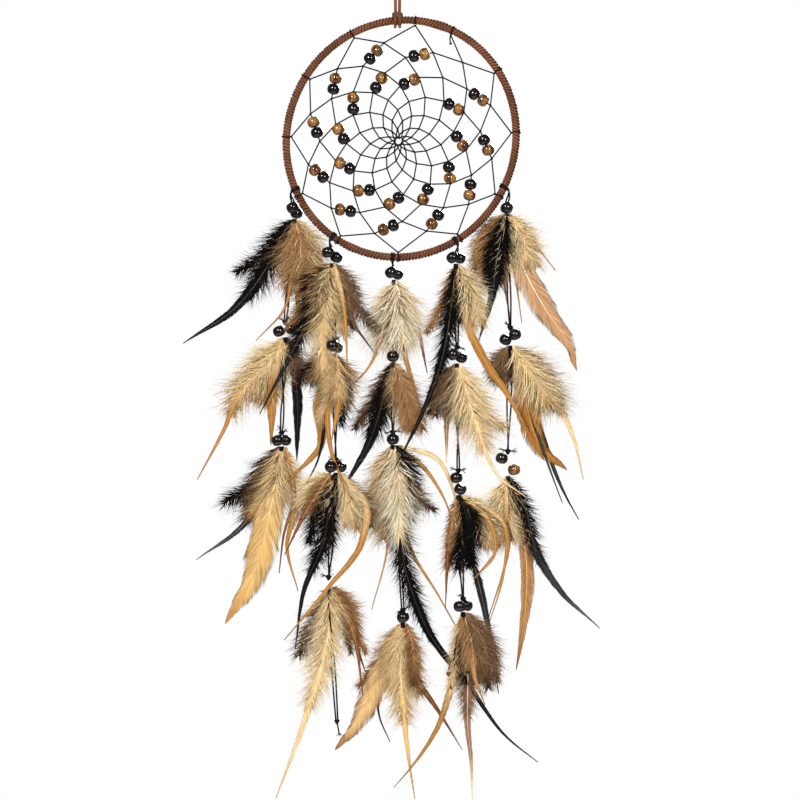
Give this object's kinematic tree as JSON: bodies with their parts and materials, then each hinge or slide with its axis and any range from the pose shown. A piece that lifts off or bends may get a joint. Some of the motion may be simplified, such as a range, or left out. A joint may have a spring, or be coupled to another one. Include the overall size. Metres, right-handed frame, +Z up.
{
  "type": "dream catcher",
  "caption": "Hanging dream catcher: a lace-wrapped oval hoop with a beaded thread web, and beaded cord drops that carry feathers.",
  "frame": {"origin": "inside top of the hanging loop, where it rests on a nail or hook", "axes": "+Z up, +X to the right across the hoop seen from the front, +Y through the hoop towards the wall"},
  "size_m": [0.352, 0.0299, 0.7169],
  "materials": {
    "suede_lace": "matt split-suede lace, brown, worn a little lighter on its edges",
    "hoop_core": "plain bent cane, hidden under the lace",
    "web_thread": "black waxed thread, slightly glossy",
    "waxed_cord": "black twisted waxed cord",
    "black_bead": "black lacquered wooden bead, glossy",
    "amber_bead": "golden-brown lacquered wooden bead with visible grain",
    "feather_black": "dark hackle feather, brown-black down at its quill",
    "feather_golden": "golden-brown feather with a pale shaft",
    "feather_cream": "cream downy feather"
  },
  "bodies": {
    "hanger": {"hanger_loop": "suede_lace"},
    "knot": {"hanger_knot": "suede_lace"},
    "hoop": {"hoop_core": "hoop_core", "hoop_wrap": "suede_lace", "beaded_web": "web_thread", "drop_1_tie": "waxed_cord", "drop_2_tie": "waxed_cord", "drop_3_tie": "waxed_cord", "drop_4_tie": "waxed_cord", "drop_5_tie": "waxed_cord"},
    "drop_1_section_1": {"drop_1_beads_1": "black_bead", "drop_1_feathers_1": "feather_black", "drop_1_cord_1": "waxed_cord", "drop_1_beads_2": "black_bead"},
    "drop_1_section_2": {"drop_1_feathers_2": "feather_golden", "drop_1_cord_2": "waxed_cord", "drop_1_beads_3": "black_bead"},
    "drop_1_section_3": {"drop_1_feathers_3": "feather_cream"},
    "drop_2_section_1": {"drop_2_beads_1": "black_bead", "drop_2_feathers_1": "feather_golden", "drop_2_cord_1": "waxed_cord", "drop_2_beads_2": "black_bead"},
    "drop_2_section_2": {"drop_2_feathers_2": "feather_cream", "drop_2_cord_2": "waxed_cord", "drop_2_beads_3": "black_bead"},
    "drop_2_section_3": {"drop_2_feathers_3": "feather_black", "drop_2_cord_3": "waxed_cord"},
    "drop_2_section_4": {"drop_2_feathers_4": "feather_golden", "drop_2_tail": "waxed_cord"},
    "drop_3_section_1": {"drop_3_beads_1": "black_bead", "drop_3_feathers_1": "feather_cream", "drop_3_cord_1": "waxed_cord", "drop_3_beads_2": "black_bead"},
    "drop_3_section_2": {"drop_3_feathers_2": "feather_black", "drop_3_cord_2": "waxed_cord", "drop_3_beads_3": "black_bead"},
    "drop_3_section_3": {"drop_3_feathers_3": "feather_golden", "drop_3_cord_3": "waxed_cord", "drop_3_beads_4": "black_bead"},
    "drop_3_section_4": {"drop_3_feathers_4": "feather_cream"},
    "drop_4_section_1": {"drop_4_beads_1": "black_bead", "drop_4_feathers_1": "feather_black", "drop_4_cord_1": "waxed_cord", "drop_4_beads_2": "black_bead"},
    "drop_4_section_2": {"drop_4_feathers_2": "feather_golden", "drop_4_cord_2": "waxed_cord", "drop_4_beads_3": "black_bead"},
    "drop_4_section_3": {"drop_4_feathers_3": "feather_cream", "drop_4_cord_3": "waxed_cord", "drop_4_beads_4": "black_bead"},
    "drop_4_section_4": {"drop_4_feathers_4": "feather_black", "drop_4_tail": "waxed_cord"},
    "drop_5_section_1": {"drop_5_beads_1": "black_bead", "drop_5_feathers_1": "feather_golden", "drop_5_cord_1": "waxed_cord", "drop_5_beads_2": "black_bead"},
    "drop_5_section_2": {"drop_5_feathers_2": "feather_cream", "drop_5_cord_2": "waxed_cord", "drop_5_beads_3": "black_bead"},
    "drop_5_section_3": {"drop_5_feathers_3": "feather_black"}
  },
  "joints": [
    {"name": "hoop_twist", "type": "hinge", "parent": "hanger", "child": "knot", "pos_m": [0, 0, -0.05743], "axis": [0, 0, 1], "range_deg": [-90, 90]},
    {"name": "hoop_swing", "type": "hinge", "parent": "knot", "child": "hoop", "pos_m": [0, 0, -0.05743], "axis": [1, 0, 0], "range_deg": [-25, 25]},
    {"name": "drop_1_swing_1", "type": "hinge", "parent": "hoop", "child": "drop_1_section_1", "pos_m": [-0.086, 0, -0.1997], "axis": [1, 0, 0], "range_deg": [-15, 15]},
    {"name": "drop_1_swing_2", "type": "hinge", "parent": "drop_1_section_1", "child": "drop_1_section_2", "pos_m": [-0.0949, 0.005, -0.32395], "axis": [1, 0, 0], "range_deg": [-12, 12]},
    {"name": "drop_1_swing_3", "type": "hinge", "parent": "drop_1_section_2", "child": "drop_1_section_3", "pos_m": [-0.0979, 0.005, -0.41595], "axis": [1, 0, 0], "range_deg": [-12, 12]},
    {"name": "drop_2_swing_1", "type": "hinge", "parent": "hoop", "child": "drop_2_section_1", "pos_m": [-0.0546, 0, -0.2394], "axis": [1, 0, 0], "range_deg": [-15, 15]},
    {"name": "drop_2_swing_2", "type": "hinge", "parent": "drop_2_section_1", "child": "drop_2_section_2", "pos_m": [-0.0529, -0.005, -0.33775], "axis": [1, 0, 0], "range_deg": [-12, 12]},
    {"name": "drop_2_swing_3", "type": "hinge", "parent": "drop_2_section_2", "child": "drop_2_section_3", "pos_m": [-0.0519, -0.005, -0.43795], "axis": [1, 0, 0], "range_deg": [-12, 12]},
    {"name": "drop_2_swing_4", "type": "hinge", "parent": "drop_2_section_3", "child": "drop_2_section_4", "pos_m": [-0.0579, -0.005, -0.53335], "axis": [1, 0, 0], "range_deg": [-12, 12]},
    {"name": "drop_3_swing_1", "type": "hinge", "parent": "hoop", "child": "drop_3_section_1", "pos_m": [-0.0041, 0, -0.2567], "axis": [1, 0, 0], "range_deg": [-15, 15]},
    {"name": "drop_3_swing_2", "type": "hinge", "parent": "drop_3_section_1", "child": "drop_3_section_2", "pos_m": [-0.0039, 0.005, -0.34495], "axis": [1, 0, 0], "range_deg": [-12, 12]},
    {"name": "drop_3_swing_3", "type": "hinge", "parent": "drop_3_section_2", "child": "drop_3_section_3", "pos_m": [-0.0039, 0.005, -0.41495], "axis": [1, 0, 0], "range_deg": [-12, 12]},
    {"name": "drop_3_swing_4", "type": "hinge", "parent": "drop_3_section_3", "child": "drop_3_section_4", "pos_m": [0.0046, 0.005, -0.56495], "axis": [1, 0, 0], "range_deg": [-12, 12]},
    {"name": "drop_4_swing_1", "type": "hinge", "parent": "hoop", "child": "drop_4_section_1", "pos_m": [0.0488, 0, -0.243], "axis": [1, 0, 0], "range_deg": [-15, 15]},
    {"name": "drop_4_swing_2", "type": "hinge", "parent": "drop_4_section_1", "child": "drop_4_section_2", "pos_m": [0.0501, -0.005, -0.34615], "axis": [1, 0, 0], "range_deg": [-12, 12]},
    {"name": "drop_4_swing_3", "type": "hinge", "parent": "drop_4_section_2", "child": "drop_4_section_3", "pos_m": [0.0511, -0.005, -0.45675], "axis": [1, 0, 0], "range_deg": [-12, 12]},
    {"name": "drop_4_swing_4", "type": "hinge", "parent": "drop_4_section_3", "child": "drop_4_section_4", "pos_m": [0.0551, -0.005, -0.55495], "axis": [1, 0, 0], "range_deg": [-12, 12]},
    {"name": "drop_5_swing_1", "type": "hinge", "parent": "hoop", "child": "drop_5_section_1", "pos_m": [0.0897, 0, -0.1977], "axis": [1, 0, 0], "range_deg": [-15, 15]},
    {"name": "drop_5_swing_2", "type": "hinge", "parent": "drop_5_section_1", "child": "drop_5_section_2", "pos_m": [0.0951, 0.005, -0.33105], "axis": [1, 0, 0], "range_deg": [-12, 12]},
    {"name": "drop_5_swing_3", "type": "hinge", "parent": "drop_5_section_2", "child": "drop_5_section_3", "pos_m": [0.0931, 0.005, -0.44075], "axis": [1, 0, 0], "range_deg": [-12, 12]}
  ]
}
